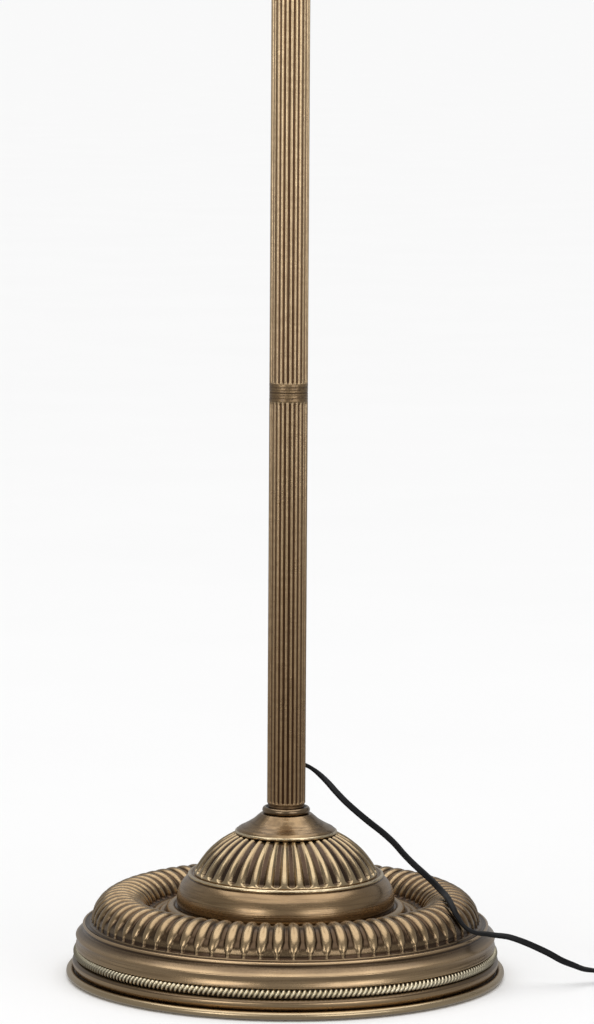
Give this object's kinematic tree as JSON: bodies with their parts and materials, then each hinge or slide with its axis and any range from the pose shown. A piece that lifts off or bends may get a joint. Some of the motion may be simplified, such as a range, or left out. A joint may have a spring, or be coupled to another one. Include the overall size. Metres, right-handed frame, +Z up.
{
  "type": "mosaic floor lamp",
  "caption": "Floor lamp: round spun brass foot with gadrooned ring and fluted dome, reeded screw-together pole, mosaic glass globe, black cord with switch and plug.",
  "frame": {"origin": "centre of the base on the floor", "axes": "+Z up along the pole, -Y towards the viewer of the picture, the cord leaves the pole towards +X"},
  "size_m": [0.4588, 0.317, 1.5055],
  "materials": {
    "antique_brass_dark": "satin, patinated",
    "antique_brass": "satin, brushed round the axis",
    "antique_brass_light": "satin, rubbed on the high edges",
    "felt": "matt felt",
    "cast_weight": "rough cast",
    "plated_steel": "zinc plated",
    "bushing_rubber": "matt",
    "cord_black": "satin PVC",
    "holder_black": "moulded thermoset",
    "ceramic": "glazed ceramic",
    "contact_brass": "bare",
    "bulb_glass": "clear",
    "filament": "phosphor coated",
    "globe_glass": "clear blown",
    "mosaic": "coloured tiles in pale grout",
    "switch_black": "satin",
    "plug_black": "moulded satin",
    "pin_nickel": "nickel plated"
  },
  "bodies": {
    "stand": {"base_pad": "felt", "base_tray": "antique_brass", "ballast_weight": "cast_weight", "tie_rod": "plated_steel", "base_washer": "plated_steel", "base_nut": "plated_steel", "base_skirt": "antique_brass", "rope_band": "antique_brass_light", "gadroon_ring": "antique_brass_light", "dome_band": "antique_brass", "fluted_dome": "antique_brass_light", "dome_cap": "antique_brass", "top_ring": "antique_brass_dark", "pole_foot": "antique_brass_dark", "pole_section_1": "antique_brass_dark", "pole_section_2": "antique_brass", "pole_section_3": "antique_brass_light", "pole_section_4": "antique_brass_light", "pole_ferrules": "antique_brass_dark", "pole_nipples": "plated_steel", "cord_bushing": "bushing_rubber", "supply_cable": "cord_black", "neck_knop": "antique_brass", "head_nipple": "plated_steel", "gallery_cup": "antique_brass", "holder_nut": "plated_steel", "holder_base": "holder_black", "holder_body": "holder_black", "holder_insulator": "ceramic", "thread_shell": "contact_brass", "centre_contact": "contact_brass", "bulb_cap": "pin_nickel", "bulb_glass": "bulb_glass", "bulb_filament": "filament", "cord_a": "cord_black", "cord_b": "cord_black", "cord_coil": "cord_black", "cord_tail": "cord_black", "coil_tie": "cord_black", "switch_lower": "switch_black", "switch_upper": "switch_black", "switch_pin": "plated_steel", "switch_screws": "plated_steel", "switch_contacts": "contact_brass", "switch_reliefs": "switch_black", "plug_body": "plug_black", "plug_relief": "plug_black", "plug_pins": "pin_nickel"},
    "globe": {"globe_ring": "antique_brass", "globe_glass": "globe_glass", "mosaic_tiles": "mosaic", "globe_cap": "antique_brass", "cap_stud": "plated_steel", "cap_washer": "plated_steel", "cap_nut": "plated_steel", "finial": "antique_brass_light"},
    "rocker": {"switch_rocker": "switch_black"}
  },
  "joints": [
    {"name": "globe_lift", "type": "slide", "parent": "stand", "child": "globe", "axis": [0, 0, 1], "range_m": [0, 0.3]},
    {"name": "rocker_tilt", "type": "hinge", "parent": "stand", "child": "rocker", "pos_m": [0.247, -0.022, 0.0116], "axis": [0, 1, 0], "range_deg": [0, 16]}
  ]
}
